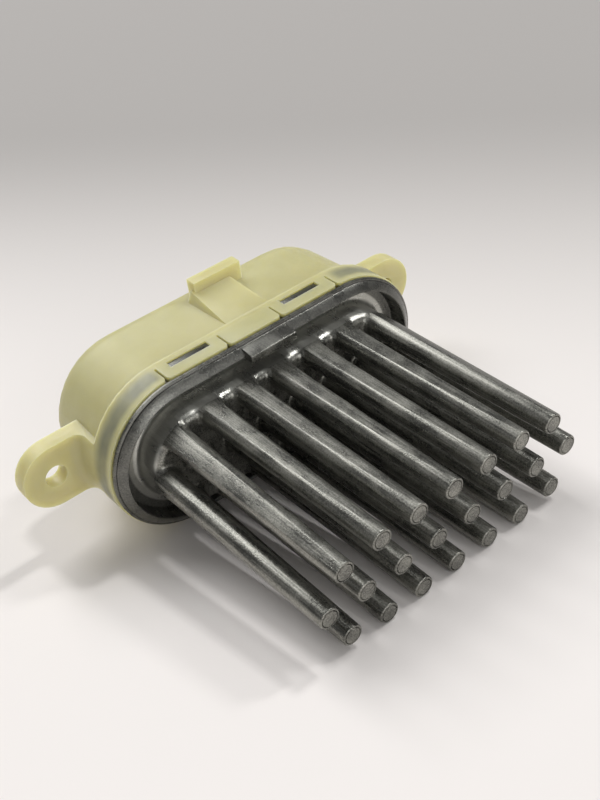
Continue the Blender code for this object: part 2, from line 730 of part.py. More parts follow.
def build_board(assembly, finish):
    """Board with holes for its screws, the transistor leads and the terminal tails."""
    radius = BODY_INNER_RADIUS - BOARD_EDGE_GAP
    plate = loft([stadium(BODY_SPINE, radius, y, HOUSING_SHIFT) for y in (BOARD_FRONT, BOARD_REAR)])
    board = assembly.piece("circuit_board", plate, finish)
    ends = (BOARD_FRONT - BOARD_THICKNESS, BOARD_REAR + BOARD_THICKNESS)
    holes = bmesh.new()
    for centre in boss_places():
        loft([disc(centre, SCREW_RADIUS + SEAT_GAP, y, PIN_SIDES) for y in ends], holes)
    for row in blade_rows():
        for _, x, _ in row:
            half = TAIL_WIDTH / 2 + BLADE_CLEARANCE
            thick = BLADE_THICKNESS / 2 + BLADE_CLEARANCE
            box((x - half, ends[0], -thick), (x + half, ends[1], thick), holes)
    for centre in transistor_centres().values():
        for x in lead_places(centre):
            half = LEAD_WIDTH / 2 + BLADE_CLEARANCE
            thick = LEAD_THICKNESS / 2 + BLADE_CLEARANCE
            box((x - half, ends[0], LEAD_Z - thick), (x + half, ends[1], LEAD_Z + thick), holes)
    assembly.shape(board, "circuit_board_holes", holes, "DIFFERENCE")


def build_transistor(assembly, side, centre, finish):
    """Power transistor: moulded body and metal tab in one, with three bent leads."""
    half = TRANSISTOR_BODY_LENGTH / 2
    outline = [
        (TRANSISTOR_FRONT, -half),
        (TRANSISTOR_REAR, -half),
        (TRANSISTOR_REAR, half),
        (TRANSISTOR_FRONT + TRANSISTOR_TAB_THICKNESS, half),
        (TRANSISTOR_FRONT + TRANSISTOR_TAB_THICKNESS, half + TRANSISTOR_TAB_LENGTH),
        (TRANSISTOR_FRONT, half + TRANSISTOR_TAB_LENGTH),
    ]
    width = TRANSISTOR_WIDTH / 2
    body = prism(outline, "X", centre - width, centre + width)
    item = assembly.piece("transistor_" + side, body, finish)
    middle = (TRANSISTOR_FRONT + TRANSISTOR_REAR) / 2
    thick = LEAD_THICKNESS / 2
    end = BOARD_REAR + TAIL_LENGTH
    bend = [
        (middle - thick, -half + thick),
        (middle - thick, LEAD_Z - thick),
        (end, LEAD_Z - thick),
        (end, LEAD_Z + thick),
        (middle + thick, LEAD_Z + thick),
        (middle + thick, -half + thick),
    ]
    leads = bmesh.new()
    for x in lead_places(centre):
        prism(bend, "X", x - LEAD_WIDTH / 2, x + LEAD_WIDTH / 2, leads)
    assembly.shape(item, item.name + "_leads", leads, "UNION")
    return item


def build_pad(assembly, side, centre, finish):
    """Insulating pad between a transistor and the heat sink."""
    half_width = TRANSISTOR_WIDTH / 2 + PAD_MARGIN
    half_length = TRANSISTOR_BODY_LENGTH / 2 + PAD_MARGIN
    mesh = box(
        (centre - half_width, PAD_FRONT, -half_length),
        (centre + half_width, PAD_FRONT + PAD_THICKNESS, half_length + TRANSISTOR_TAB_LENGTH),
    )
    assembly.piece("thermal_pad_" + side, mesh, finish)


def build_clamp(assembly, finish):
    """Arched spring that presses both transistors down, held by one screw."""
    press = TRANSISTOR_SPACING / 2
    reach = press + TRANSISTOR_WIDTH / 2
    low = CLAMP_FRONT
    high = low + CLAMP_ARCH
    line = [(-reach, high), (-press, low), (press, low), (reach, high)]
    outline = line + [(x, y + CLAMP_THICKNESS) for x, y in reversed(line)]
    mesh = prism(outline, "Z", -CLAMP_WIDTH / 2, CLAMP_WIDTH / 2)
    spring = assembly.piece("clamp_spring", mesh, finish)
    ends = (low - CLAMP_THICKNESS, low + 2 * CLAMP_THICKNESS)
    hole = loft([disc((0, 0), SCREW_RADIUS + SEAT_GAP, y, PIN_SIDES) for y in ends])
    assembly.shape(spring, "clamp_spring_hole", hole, "DIFFERENCE")


def build_screw(assembly, name, centre, seat, grip, finish):
    """Pan-head screw whose head sits on a seat and whose shank runs forward."""
    under = seat + SEAT_GAP
    top = under + SCREW_HEAD_HEIGHT
    point = seat - grip - SCREW_THREAD_LENGTH + SEAT_GAP
    profile = [
        (SCREW_POINT_RADIUS, point),
        (SCREW_RADIUS, point + SCREW_RADIUS - SCREW_POINT_RADIUS),
        (SCREW_RADIUS, under),
        (SCREW_HEAD_RADIUS, under),
        (SCREW_HEAD_RADIUS, top - SCREW_CROWN),
        (SCREW_HEAD_RADIUS - SCREW_CROWN, top),
    ]
    mesh = loft([disc(centre, radius, y, PIN_SIDES) for radius, y in profile])
    screw = assembly.piece(name, mesh, finish)
    ends = (top - SOCKET_KEY_DEPTH, top + SOCKET_KEY_DEPTH)
    drive = loft([disc(centre, SOCKET_KEY_RADIUS, y, KEY_SIDES) for y in ends])
    assembly.shape(screw, name + "_drive", drive, "DIFFERENCE")


def build_terminal(assembly, name, x, width, finish):
    """Flat terminal: solder tail, shoulder against the socket's floor and pointed blade."""
    half = width / 2
    shoulder = half + BLADE_SHOULDER
    tail = TAIL_WIDTH / 2
    tip = BLADE_THICKNESS
    seat = SOCKET_FLOOR_FRONT - SEAT_GAP
    right = [
        (tail, BOARD_FRONT - TAIL_LENGTH),
        (tail, BOARD_PART_SEAT),
        (shoulder, BOARD_PART_SEAT),
        (shoulder, seat),
        (half, seat),
        (half, BLADE_TIP_Y - tip),
        (half - tip, BLADE_TIP_Y),
    ]
    outline = [(x + u, y) for u, y in right] + [(x - u, y) for u, y in reversed(right)]
    mesh = prism(outline, "Z", -BLADE_THICKNESS / 2, BLADE_THICKNESS / 2)
    assembly.piece(name, mesh, finish)


def build_shunt(assembly, finish):
    """Bent strip that measures the motor current, standing on the board's front face."""
    foot = BOARD_FRONT - SEAT_GAP
    top = foot - SHUNT_HEIGHT
    half = SHUNT_LENGTH / 2
    thick = SHUNT_THICKNESS
    step = SHUNT_WIDTH / 2
    outline = [
        (-half - step, foot), (-half - step, foot - thick), (-half, foot - thick),
        (-half, top), (half, top),
        (half, foot - thick), (half + step, foot - thick), (half + step, foot),
        (half - thick, foot), (half - thick, top + thick),
        (-half + thick, top + thick), (-half + thick, foot),
    ]
    low = SHUNT_HEIGHT_ON_BOARD - SHUNT_WIDTH / 2
    assembly.piece("shunt_resistor", prism(outline, "Z", low, low + SHUNT_WIDTH), finish)


def build_chip(assembly, finish):
    """Control chip with a row of legs on each long side."""
    x, z = CHIP_PLACE
    seat = BOARD_PART_SEAT
    under = seat + CHIP_LIFT
    body = box(
        (x - CHIP_LENGTH / 2, under, z - CHIP_WIDTH / 2),
        (x + CHIP_LENGTH / 2, under + CHIP_HEIGHT, z + CHIP_WIDTH / 2),
    )
    chip = assembly.piece("control_chip", body, finish)
    pitch = CHIP_LENGTH / CHIP_LEGS
    reach = CHIP_WIDTH / 2 + CHIP_LEG_REACH
    legs = bmesh.new()
    for index in range(CHIP_LEGS):
        middle = x + pitch * (index - (CHIP_LEGS - 1) / 2)
        low = (middle - CHIP_LEG_WIDTH / 2, seat, z - reach)
        high = (middle + CHIP_LEG_WIDTH / 2, seat + CHIP_LEG_HEIGHT, z + reach)
        box(low, high, legs)
    assembly.shape(chip, "control_chip_legs", legs, "UNION")


def lying_cylinder(place, radius, length, edge):
    """Cylinder on the board's rear face, along X, with chamfered ends."""
    x, z = place
    y = BOARD_PART_SEAT + radius
    stations = [
        (x - length / 2, radius - edge), (x - length / 2 + edge, radius),
        (x + length / 2 - edge, radius), (x + length / 2, radius - edge),
    ]
    rings = []
    for station, size in stations:
        turn = arc((y, z), size, 0, 360 - 360 / PIN_SIDES, PIN_SIDES - 1)
        rings.append([Vector((station, u, v)) for u, v in turn])
    return loft(rings)


def bent_lead(x, side, place, radius, mesh):
    """Lead that leaves a lying cylinder's end and turns down to the board."""
    y = BOARD_PART_SEAT + radius
    thick = LEAD_HALF_THICKNESS
    out = x + side * 3 * thick
    outline = [
        (x - side * thick, y - thick), (x - side * thick, y + thick), (out + side * thick, y + thick),
        (out + side * thick, BOARD_PART_SEAT), (out - side * thick, BOARD_PART_SEAT),
        (out - side * thick, y - thick),
    ]
    prism(outline, "Z", place[1] - thick, place[1] + thick, mesh)


def build_board_parts(assembly, finishes):
    """Capacitor, diode and small chips on the board's rear face."""
    capacitor = assembly.piece(
        "filter_capacitor",
        lying_cylinder(CAPACITOR_PLACE, CAPACITOR_RADIUS, CAPACITOR_LENGTH, CAN_EDGE),
        finishes["can"],
    )
    leads = bmesh.new()
    bent_lead(CAPACITOR_PLACE[0] - CAPACITOR_LENGTH / 2, -1, CAPACITOR_PLACE, CAPACITOR_RADIUS, leads)
    assembly.shape(capacitor, "filter_capacitor_lead", leads, "UNION")
    diode = assembly.piece(
        "suppressor_diode",
        lying_cylinder(DIODE_PLACE, DIODE_RADIUS, DIODE_LENGTH, CAN_EDGE),
        finishes["package"],
    )
    leads = bmesh.new()
    for side in (-1, 1):
        bent_lead(DIODE_PLACE[0] + side * DIODE_LENGTH / 2, side, DIODE_PLACE, DIODE_RADIUS, leads)
    assembly.shape(diode, "suppressor_diode_leads", leads, "UNION")
    for name, (x, z) in PASSIVE_PLACES.items():
        mesh = box(
            (x - PASSIVE_LENGTH / 2, BOARD_PART_SEAT, z - PASSIVE_WIDTH / 2),
            (x + PASSIVE_LENGTH / 2, BOARD_PART_SEAT + PASSIVE_HEIGHT, z + PASSIVE_WIDTH / 2),
        )
        assembly.piece(name, mesh, finishes["ceramic"])


def finishes():
    """The finishes that the pieces are made in."""
    return {
        "casting": material("cast_aluminium", (0.20, 0.20, 0.195), 0.42, 0.9),
        "nylon": material("natural_nylon", (0.62, 0.60, 0.36), 0.45),
        "laminate": material("board_laminate", (0.05, 0.22, 0.10), 0.5),
        "package": material("moulded_package", (0.03, 0.03, 0.032), 0.5),
        "pad": material("silicone_pad", (0.45, 0.47, 0.50), 0.8),
        "spring": material("spring_steel", (0.45, 0.44, 0.42), 0.35, 1.0),
        "zinc": material("zinc_plate", (0.60, 0.61, 0.62), 0.3, 1.0),
        "tin": material("tinned_brass", (0.68, 0.66, 0.60), 0.28, 1.0),
        "strip": material("resistor_alloy", (0.50, 0.44, 0.38), 0.35, 1.0),
        "can": material("capacitor_sleeve", (0.04, 0.05, 0.10), 0.4),
        "ceramic": material("ceramic_body", (0.42, 0.34, 0.24), 0.5),
    }


def main():
    """Build every piece of the resistor."""
    clear_scene()
    assembly = Assembly()
    made = finishes()
    build_heat_sink(assembly, made["casting"])
    build_housing(assembly, made["nylon"])
    build_board(assembly, made["laminate"])
    for side, centre in transistor_centres().items():
        build_transistor(assembly, side, centre, made["package"])
        build_pad(assembly, side, centre, made["pad"])
    build_clamp(assembly, made["spring"])
    for side, centre in zip(("left", "right"), boss_places()):
        grip = BOARD_THICKNESS + SEAT_GAP
        build_screw(assembly, "board_screw_" + side, centre, BOARD_REAR, grip, made["zinc"])
    grip = CLAMP_THICKNESS + SEAT_GAP
    build_screw(assembly, "clamp_screw", (0, 0), CLAMP_FRONT + CLAMP_THICKNESS, grip, made["zinc"])
    for row in blade_rows():
        for name, x, width in row:
            build_terminal(assembly, name, x, width, made["tin"])
    build_shunt(assembly, made["strip"])
    build_chip(assembly, made["package"])
    build_board_parts(assembly, made)
    bpy.context.view_layer.update()


main()
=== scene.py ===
import logging
import math
from dataclasses import dataclass
from enum import Enum
from typing import Iterable, Sequence

import bmesh
import bpy
import numpy as np
from mathutils import Matrix, Vector


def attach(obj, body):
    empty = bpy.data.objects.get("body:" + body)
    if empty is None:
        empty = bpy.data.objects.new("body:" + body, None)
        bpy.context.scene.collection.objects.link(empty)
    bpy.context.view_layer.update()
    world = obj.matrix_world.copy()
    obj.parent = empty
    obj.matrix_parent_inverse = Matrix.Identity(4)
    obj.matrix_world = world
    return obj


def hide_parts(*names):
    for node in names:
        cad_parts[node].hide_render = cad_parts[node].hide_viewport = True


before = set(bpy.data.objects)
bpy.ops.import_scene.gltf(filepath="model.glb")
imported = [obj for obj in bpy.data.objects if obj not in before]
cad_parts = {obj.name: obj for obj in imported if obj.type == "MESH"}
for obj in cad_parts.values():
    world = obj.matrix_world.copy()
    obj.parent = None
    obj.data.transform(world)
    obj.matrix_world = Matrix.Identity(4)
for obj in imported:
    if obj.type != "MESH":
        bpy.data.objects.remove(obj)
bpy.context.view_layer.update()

MM = 0.001
LOG = logging.getLogger("blower_resistor")
# Middle of the rim's front face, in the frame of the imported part
RIM_ORIGIN = Vector((0.6, 8.8, 18.67)) * MM
Socket = bpy.types.NodeSocket
Value = Socket | float
Colour = Socket | tuple


class Side(Enum):
    """The two long sides of the casting."""

    UPPER = 1
    LOWER = -1


class Shell:
    """A bmesh under construction, measured in millimetres from the rim's front face."""

    def __init__(self) -> None:
        """Starts an empty mesh."""
        self.mesh = bmesh.new()

    def ring(self, spine: float, radius: float, depth: float, sides: int, middle: float = 0.0) -> list:
        """Adds a ring with two straight sides and round ends, across the Y axis.

        Args:
            spine: Half the length of the straight sides.
            radius: Radius of the round ends.
            depth: Y of the ring.
            sides: Number of vertices, a multiple of four.
            middle: X of the ring's middle.

        Returns:
            The ring's vertices.
        """
        half_step = math.pi / sides
        turn = Matrix.Rotation(math.pi / 2, 4, "X") @ Matrix.Rotation(half_step, 4, "Z")
        verts = bmesh.ops.create_circle(
            self.mesh, segments=sides, radius=radius / math.cos(half_step), matrix=turn
        )["verts"]
        right = [v for v in verts if v.co.x > 0]
        left = [v for v in verts if v.co.x < 0]
        bmesh.ops.translate(self.mesh, verts=right, vec=(spine + middle, depth, 0))
        bmesh.ops.translate(self.mesh, verts=left, vec=(middle - spine, depth, 0))
        return verts

    def sweep(self, stations: Sequence[Sequence[float]], sides: int, middle: float = 0.0) -> None:
        """Draws a closed skin through rings with straight sides and round ends.

        Args:
            stations: Spine, radius and depth of each ring.
            sides: Number of vertices of a ring, a multiple of four.
            middle: X of the rings' middle.
        """
        spine, radius, depth = stations[0]
        verts = self.ring(spine, radius, depth, sides, middle)
        edges = list({e for v in verts for e in v.link_edges})
        bmesh.ops.contextual_create(self.mesh, geom=edges)
        for next_spine, next_radius, next_depth in stations[1:]:
            made = bmesh.ops.extrude_edge_only(self.mesh, edges=edges)["geom"]
            verts = [g for g in made if isinstance(g, bmesh.types.BMVert)]
            new = set(verts)
            edges = [g for g in made if isinstance(g, bmesh.types.BMEdge) and set(g.verts) <= new]
            growth = next_radius / radius
            for half in (-1, 1):
                end = [v for v in verts if (v.co.x - middle) * half > 0]
                bmesh.ops.translate(self.mesh, verts=end, vec=(-middle - half * spine, 0, 0))
                bmesh.ops.scale(self.mesh, verts=end, vec=(growth, 1, growth))
                back = (middle + half * next_spine, next_depth - depth, 0)
                bmesh.ops.translate(self.mesh, verts=end, vec=back)
            spine, radius, depth = next_spine, next_radius, next_depth
        bmesh.ops.contextual_create(self.mesh, geom=edges)

    def block(self, low: Sequence[float], high: Sequence[float]) -> list:
        """Adds a box.

        Args:
            low: Lowest corner.
            high: Highest corner.

        Returns:
            The box's vertices.
        """
        size = Vector(high) - Vector(low)
        place = Matrix.Translation((Vector(high) + Vector(low)) / 2) @ Matrix.Diagonal((*size, 1))
        return bmesh.ops.create_cube(self.mesh, size=1, matrix=place)["verts"]

    def round_off(self, edges: Iterable, width: float, segments: int) -> None:
        """Bevels edges.

        Args:
            edges: The edges to round.
            width: Offset of the bevel.
            segments: Faces across the bevel.
        """
        bmesh.ops.bevel(
            self.mesh, geom=list(edges), offset=width, offset_type="OFFSET", segments=segments,
            profile=0.5, affect="EDGES", clamp_overlap=True, material=-1,
        )

    def plane_cut(self, verts: Iterable, point: Sequence[float], normal: Sequence[float]) -> None:
        """Cuts a body along a plane, drops what lies in front and closes the cut.

        Args:
            verts: The body's vertices.
            point: A point of the plane.
            normal: Direction of the part that is dropped.
        """
        body = set(verts)
        edges = {e for v in body for e in v.link_edges}
        faces = {f for v in body for f in v.link_faces}
        geom = list(body) + list(edges) + list(faces)
        cut = bmesh.ops.bisect_plane(
            self.mesh, geom=geom, plane_co=point, plane_no=normal, clear_outer=True, dist=1e-5
        )["geom_cut"]
        edges = [g for g in cut if isinstance(g, bmesh.types.BMEdge)]
        bmesh.ops.contextual_create(self.mesh, geom=edges)

    def join(self, other: "Shell") -> None:
        """Takes over another shell's mesh, which is freed."""
        copy = bpy.data.meshes.new("copy")
        bmesh.ops.recalc_face_normals(other.mesh, faces=other.mesh.faces)
        other.mesh.to_mesh(copy)
        other.mesh.free()
        self.mesh.from_mesh(copy)
        bpy.data.meshes.remove(copy)

    def object(self, name: str, crease: float = 35.0) -> bpy.types.Object:
        """Turns the mesh into a scene object with smooth faces and sharp creases.

        Args:
            name: Name of the object.
            crease: Angle in degrees past which an edge stays sharp.

        Returns:
            The object, placed in the part's frame.
        """
        bmesh.ops.remove_doubles(self.mesh, verts=self.mesh.verts, dist=1e-4)
        bmesh.ops.recalc_face_normals(self.mesh, faces=self.mesh.faces)
        return finish_mesh(self.mesh, name, crease, Matrix.Translation(RIM_ORIGIN) @ Matrix.Scale(MM, 4))


def finish_mesh(mesh: bmesh.types.BMesh, name: str, crease: float, place: Matrix) -> bpy.types.Object:
    """Writes a bmesh into a new object of the scene.

    Args:
        mesh: The bmesh, which is freed.
        name: Name of the object.
        crease: Angle in degrees past which an edge stays sharp.
        place: Transform that is applied to the mesh.

    Returns:
        The new object.
    """
    bmesh.ops.transform(mesh, matrix=place, verts=mesh.verts)
    mesh.normal_update()
    for face in mesh.faces:
        face.smooth = True
    limit = math.radians(crease)
    for edge in mesh.edges:
        edge.smooth = not edge.is_manifold or edge.calc_face_angle(0) < limit
    data = bpy.data.meshes.new(name)
    mesh.to_mesh(data)
    mesh.free()
    piece = bpy.data.objects.new(name, data)
    bpy.context.scene.collection.objects.link(piece)
    return piece


class Nodes:
    """A material's node tree with short calls for making and joining nodes."""

    def __init__(self, name: str) -> None:
        """Starts a node material with a Principled shader.

        Args:
            name: Name of the material.
        """
        self.material = bpy.data.materials.new(name)
        self.material.use_nodes = True
        self.tree = self.material.node_tree
        self.shader = self.tree.nodes["Principled BSDF"]
        self.coordinates = self.add("ShaderNodeTexCoord").outputs["Object"]

    def add(self, kind: str, **settings) -> bpy.types.Node:
        """Adds a node.

        Args:
            kind: Blender's name of the node type.
            settings: Attributes to set on it.

        Returns:
            The node.
        """
        node = self.tree.nodes.new(kind)
        for key, value in settings.items():
            setattr(node, key, value)
        return node

    def link(self, source: Socket, target: Socket) -> None:
        """Joins an output to an input."""
        self.tree.links.new(source, target)

    def scaled(self, scale: Sequence[float]) -> Socket:
        """Object coordinates, scaled.

        Args:
            scale: Scale along each axis, per metre.

        Returns:
            The vector output.
        """
        mapping = self.add("ShaderNodeMapping")
        mapping.inputs["Scale"].default_value = scale
        self.link(self.coordinates, mapping.inputs["Vector"])
        return mapping.outputs["Vector"]

    def place(self) -> tuple:
        """Object coordinates apart.

        Returns:
            The X, Y and Z outputs.
        """
        parts = self.add("ShaderNodeSeparateXYZ")
        self.link(self.coordinates, parts.inputs[0])
        return tuple(parts.outputs)

    def distance(self, value: Socket, middle: float) -> Socket:
        """How far a value lies from a middle, on either side.

        Args:
            value: The output to measure.
            middle: The middle.

        Returns:
            The distance's output.
        """
        return self.math("ABSOLUTE", self.math("SUBTRACT", value, middle))

    def noise(self, scale: Sequence[float], detail: float = 3.0, roughness: float = 0.5) -> Socket:
        """Noise on object coordinates.

        Args:
            scale: Cells per metre along each axis.
            detail: Octaves.
            roughness: Strength of the finer octaves.

        Returns:
            The noise's value output.
        """
        node = self.add("ShaderNodeTexNoise")
        node.inputs["Scale"].default_value = 1.0
        node.inputs["Detail"].default_value = detail
        node.inputs["Roughness"].default_value = roughness
        self.link(self.scaled(scale), node.inputs["Vector"])
        return node.outputs["Fac"]

    def ramp(self, value: Socket, start: float, end: float, low: float = 0.0, high: float = 1.0,
             smooth: bool = False) -> Socket:
        """Maps a value and clamps it.

        Args:
            value: The output to map.
            start: Value that gives low.
            end: Value that gives high.
            low: Result at start.
            high: Result at end.
            smooth: Whether the result eases in and out.

        Returns:
            The mapped value output.
        """
        node = self.add("ShaderNodeMapRange", interpolation_type="SMOOTHSTEP" if smooth else "LINEAR")
        node.inputs["From Min"].default_value = start
        node.inputs["From Max"].default_value = end
        node.inputs["To Min"].default_value = low
        node.inputs["To Max"].default_value = high
        self.link(value, node.inputs["Value"])
        return node.outputs["Result"]

    def math(self, operation: str, first: Value, second: Value | None = None) -> Socket:
        """A Math node.

        Args:
            operation: Name of the operation.
            first: Output or number.
            second: Output or number.

        Returns:
            The value output.
        """
        node = self.add("ShaderNodeMath", operation=operation)
        for socket, value in zip(node.inputs, (first, second)):
            if value is None:
                continue
            if isinstance(value, (int, float)):
                socket.default_value = value
            else:
                self.link(value, socket)
        return node.outputs["Value"]

    def blend(self, factor: Socket, first: Colour, second: Colour) -> Socket:
        """Mixes two colours.

        Args:
            factor: Output that is 0 for the first and 1 for the second.
            first: Colour or colour output.
            second: Colour or colour output.

        Returns:
            The colour output.
        """
        node = self.add("ShaderNodeMix", data_type="RGBA")
        self.link(factor, node.inputs["Factor"])
        for socket, value in ((node.inputs[6], first), (node.inputs[7], second)):
            if isinstance(value, tuple):
                socket.default_value = (*value, 1.0)
            else:
                self.link(value, socket)
        return node.outputs[2]

    def bump(self, height: Socket, distance: float, strength: float, under: Socket | None = None) -> Socket:
        """A bump of a height in metres.

        Args:
            height: Height output from 0 to 1.
            distance: Depth of the relief in metres.
            strength: Share of the relief that shows.
            under: Normal of another bump beneath it.

        Returns:
            The normal output.
        """
        node = self.add("ShaderNodeBump")
        node.inputs["Distance"].default_value = distance
        node.inputs["Strength"].default_value = strength
        self.link(height, node.inputs["Height"])
        if under is not None:
            self.link(under, node.inputs["Normal"])
        return node.outputs["Normal"]


@dataclass(frozen=True)
class CastMetal:
    """Dull die-cast aluminium with a fine grain and faint draw marks along the pins.

    The lip and its tab are darker, each by its place. The catches' tops carry painted shade and the moat a
    painted fill light. Lengths are in metres, and cells are counted per metre.
    """

    name: str = "cast_aluminium"
    dark: tuple = (0.11, 0.11, 0.10)
    light: tuple = (0.37, 0.365, 0.325)
    tones: tuple = (0.42, 0.60)
    roughness: tuple = (0.22, 0.40)
    metallic: float = 0.88
    streak_cells: tuple = (3200.0, 45.0, 3200.0)
    streak_relief: float = 0.00002
    patch_cells: tuple = (260.0, 120.0, 260.0)
    grain_cells: tuple = (3000.0, 3000.0, 3000.0)
    grain_relief: float = 0.00006
    lip: tuple = (0.10, 0.10, 0.092)
    # Painted fill light: the lighter colour of the moat's floor and the plateau's walls, in place of light
    # in that recess
    moat: tuple = (0.62, 0.62, 0.57)
    rim_share: float = 0.65
    spine: float = 0.02173
    moat_reach: float = 0.0142
    moat_soft: float = 0.0004
    front: float = 0.0063
    front_soft: float = 0.0006
    # Painted shade: the darker colour of the catches' tops, which stands in for shade on the same cast
    # metal
    catch: tuple = (0.10, 0.10, 0.092)
    catch_shade_from: float = 0.01830
    catch_shade_soft: float = 0.00004

    def rim_tones_and_painted_light(self, n: Nodes, skin: Socket) -> Socket:
        """Darkens the lip, paints shade on the catches' tops and paints a fill light into the moat.

        Args:
            n: The material's nodes.
            skin: Colour of the rest.

        Returns:
            The colour output.
        """
        x, y, z = n.place()
        height = n.distance(z, RIM_ORIGIN[2])
        past = n.math("MAXIMUM", n.math("SUBTRACT", n.distance(x, RIM_ORIGIN[0]), self.spine), 0.0)
        squares = n.math("ADD", n.math("MULTIPLY", past, past), n.math("MULTIPLY", height, height))
        behind = n.ramp(y, self.front, self.front + self.front_soft, 0.0, self.rim_share, smooth=True)
        # Inside moat_reach the moat colour, a painted fill light, takes the place of the lip colour
        outer = n.ramp(n.math("SQRT", squares), self.moat_reach, self.moat_reach + self.moat_soft)
        rim = n.blend(behind, skin, n.blend(outer, self.moat, self.lip))
        # Painted shade on the catches' tops, above the catch height
        level = n.ramp(height, self.catch_shade_from, self.catch_shade_from + self.catch_shade_soft)
        return n.blend(level, rim, self.catch)

    def build(self) -> bpy.types.Material:
        """Makes the material and returns it."""
        n = Nodes(self.name)
        streaks = n.noise(self.streak_cells, 3.0, 0.6)
        patches = n.noise(self.patch_cells, 4.0, 0.6)
        grain = n.noise(self.grain_cells, 2.0, 0.7)
        tone = n.math("MULTIPLY", n.math("ADD", n.math("ADD", streaks, patches), grain), 1 / 3)
        skin = n.blend(n.ramp(tone, *self.tones), self.dark, self.light)
        n.link(self.rim_tones_and_painted_light(n, skin), n.shader.inputs["Base Color"])
        n.link(n.ramp(patches, 0.35, 0.65, *self.roughness), n.shader.inputs["Roughness"])
        n.shader.inputs["Metallic"].default_value = self.metallic
        fine = n.bump(grain, self.grain_relief, 0.8)
        n.link(n.bump(streaks, self.streak_relief, 0.5, fine), n.shader.inputs["Normal"])
        return n.material


@dataclass(frozen=True)
class NaturalNylon:
    """Translucent olive cream nylon of the housing, with painted shade at its collar's round ends, where
    the casting's upstand lies behind the collar.

    Lengths are in metres, and cells are counted per metre.
    """

    name: str = "natural_nylon"
    body: tuple = (0.60, 0.56, 0.30)
    shade: tuple = (0.52, 0.48, 0.23)
    # Painted shade: the colour where the casting's upstand lies behind the collar
    seen_through_painted_shade: tuple = (0.15, 0.16, 0.125)
    band_start: float = 0.0128
    band_end: float = 0.0168
    band_reach: float = 0.0235
    band_soft: float = 0.0018
    band_strength: tuple = (0.55, 0.85)
    patch_cells: tuple = (150.0, 150.0, 150.0)
    cloud_cells: tuple = (70.0, 70.0, 70.0)
    gloss_cells: tuple = (900.0, 900.0, 900.0)
    roughness: tuple = (0.36, 0.48)
    relief_cells: tuple = (400.0, 400.0, 400.0)
    relief: float = 0.00003
    scatter: tuple = (0.8, 0.1)
    scatter_radius: tuple = (1.0, 0.9, 0.45)
    scatter_scale: float = 0.006

    def painted_show_through_mask(self, n: Nodes) -> Socket:
        """Mask of the painted shade at the round ends, which stands in for the casting's upstand showing
        dimly through the collar.

        Args:
            n: The material's nodes.

        Returns:
            The mask's value output.
        """
        x, depth, _ = n.place()
        soft = self.band_soft
        front = n.ramp(depth, self.band_start - soft / 2, self.band_start + soft / 2, smooth=True)
        back = n.ramp(depth, self.band_end - soft, self.band_end + soft, 1.0, 0.0, smooth=True)
        side = n.distance(x, RIM_ORIGIN[0])
        out = n.ramp(side, self.band_reach - soft / 2, self.band_reach + soft, smooth=True)
        patch = n.ramp(n.noise(self.patch_cells, 2.0), 0.3, 0.7, *self.band_strength)
        return n.math("MULTIPLY", n.math("MULTIPLY", front, back), n.math("MULTIPLY", out, patch))

    def build(self) -> bpy.types.Material:
        """Makes the material and returns it."""
        n = Nodes(self.name)
        clouds = n.noise(self.cloud_cells)
        # Mask of the painted shade of the upstand behind the collar
        through = self.painted_show_through_mask(n)
        plain = n.blend(n.ramp(clouds, 0.3, 0.7), self.shade, self.body)
        # The painted shade replaces the nylon's colour there, and scattering is weaker there
        n.link(n.blend(through, plain, self.seen_through_painted_shade), n.shader.inputs["Base Color"])
        n.link(n.ramp(through, 0.0, 1.0, *self.scatter), n.shader.inputs["Subsurface Weight"])
        n.shader.inputs["Subsurface Radius"].default_value = self.scatter_radius
        n.shader.inputs["Subsurface Scale"].default_value = self.scatter_scale
        gloss = n.noise(self.gloss_cells, 2.0)
        n.link(n.ramp(gloss, 0.3, 0.7, *self.roughness), n.shader.inputs["Roughness"])
        n.link(n.bump(n.noise(self.relief_cells), self.relief, 0.4), n.shader.inputs["Normal"])
        return n.material


@dataclass(frozen=True)
class PlainFinish:
    """A finish of an inner piece: two close colours, some grain and a sheen."""

    name: str
    base: tuple
    mark: tuple
    metallic: float = 0.0
    roughness: float = 0.5
    cells: tuple = (900.0, 900.0, 900.0)
    relief: float = 0.00002

    def build(self) -> bpy.types.Material:
        """Makes the material and returns it."""
        n = Nodes(self.name)
        grain = n.noise(self.cells, 3.0, 0.6)
        n.link(n.blend(n.ramp(grain, 0.35, 0.65), self.base, self.mark), n.shader.inputs["Base Color"])
        gloss = n.ramp(grain, 0.3, 0.7, self.roughness * 0.85, self.roughness * 1.15)
        n.link(gloss, n.shader.inputs["Roughness"])
        n.shader.inputs["Metallic"].default_value = self.metallic
        n.link(n.bump(grain, self.relief, 0.5), n.shader.inputs["Normal"])
        return n.material


